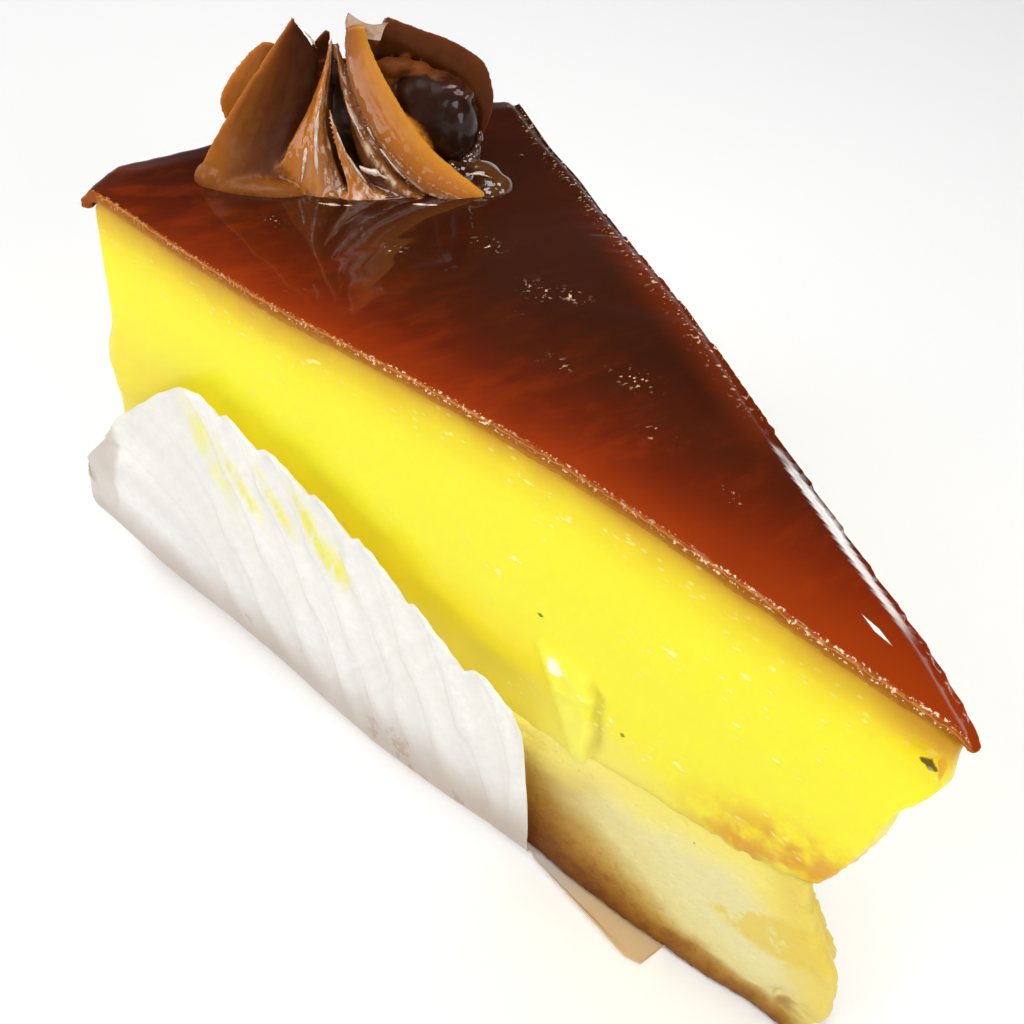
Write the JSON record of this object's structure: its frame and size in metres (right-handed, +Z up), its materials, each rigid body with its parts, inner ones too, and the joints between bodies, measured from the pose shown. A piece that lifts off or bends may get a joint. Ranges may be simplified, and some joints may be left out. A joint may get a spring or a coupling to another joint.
{
  "type": "flan cake slice",
  "caption": "Wedge-shaped slice of caramel flan cake: sponge base, smooth custard layer, dark caramel glaze and a piped caramel swirl at the rim, in a folded fluted paper liner.",
  "frame": {"origin": "centre of the footprint's box, on the surface that the paper liner rests on", "axes": "+Z up; +X towards the tip of the slice, -X towards the rim of the cake; -Y towards the cut face that the paper liner covers"},
  "size_m": [0.132, 0.0752, 0.0817],
  "materials": {
    "sponge": "soft open crumb, pale yellow with a browned bottom edge",
    "custard": "smooth moist custard, satin sheen",
    "caramel": "wet glossy caramel, dark amber",
    "milk_caramel": "thick glossy milk caramel",
    "liner_paper": "thin white greaseproof paper, fluted, with custard smears"
  },
  "bodies": {
    "root": {"sponge_base": "sponge", "custard_layer": "custard", "caramel_glaze": "caramel", "caramel_swirl": "milk_caramel", "paper_liner": "liner_paper"}
  },
  "joints": []
}
